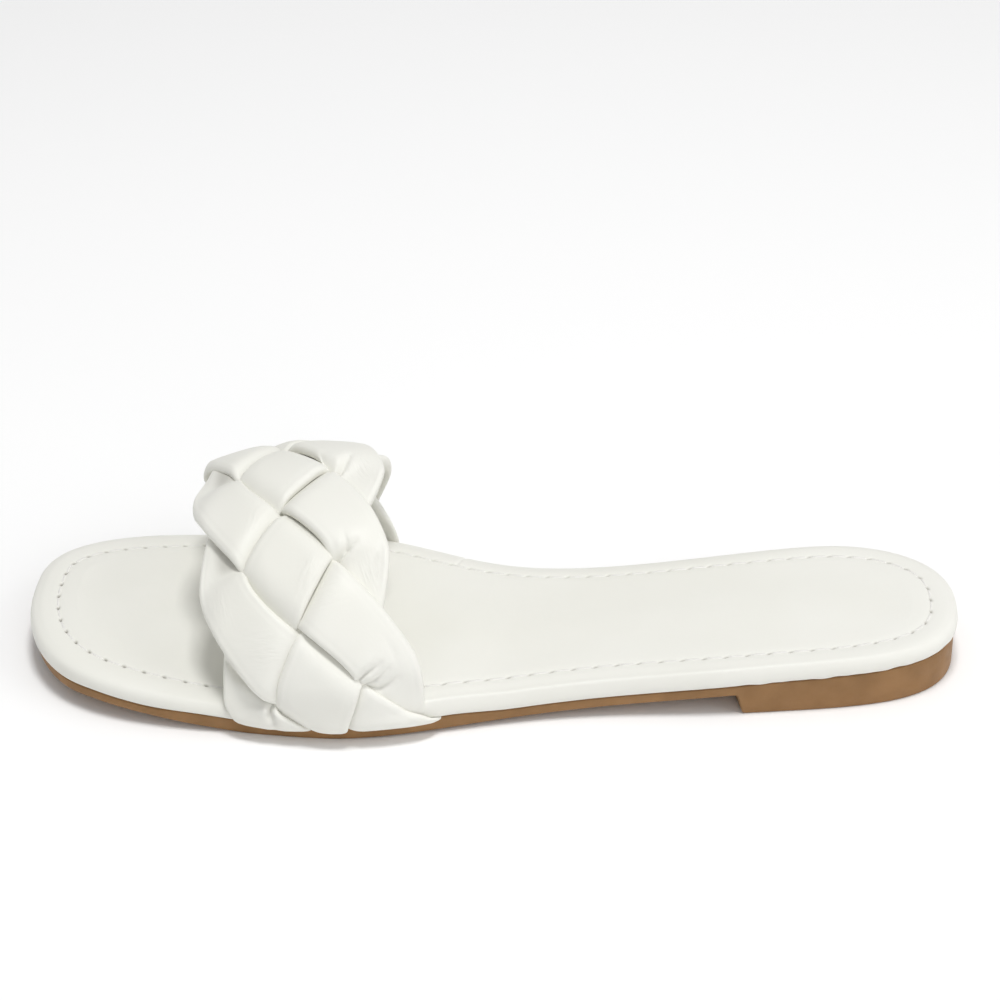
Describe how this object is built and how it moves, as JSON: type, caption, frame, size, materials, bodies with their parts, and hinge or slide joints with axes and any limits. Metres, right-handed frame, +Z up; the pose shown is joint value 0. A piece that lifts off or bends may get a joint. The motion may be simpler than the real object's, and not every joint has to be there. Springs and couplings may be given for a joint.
{
  "type": "braided sandal",
  "caption": "Left slide sandal with a padded leather band braided over the instep, a wrapped footbed with a rolled rim and stitched sock, and a thin rubber sole with a low heel.",
  "frame": {"origin": "on the floor under the middle of the shoe's bounding box", "axes": "+X from heel to toe, +Y to the wearer's left, which is the outer side of this left shoe, +Z up"},
  "size_m": [0.25, 0.0968, 0.0502],
  "materials": {
    "outsole_rubber": "tan, matt, faint grain",
    "footbed_leather": "off-white, smooth, soft sheen",
    "insole_leather": "off-white, smooth, stitched edge",
    "upper_leather": "off-white, smooth, padded strips"
  },
  "bodies": {
    "root": {"outsole": "outsole_rubber", "footbed": "footbed_leather", "insole": "insole_leather", "upper": "upper_leather"}
  },
  "joints": []
}
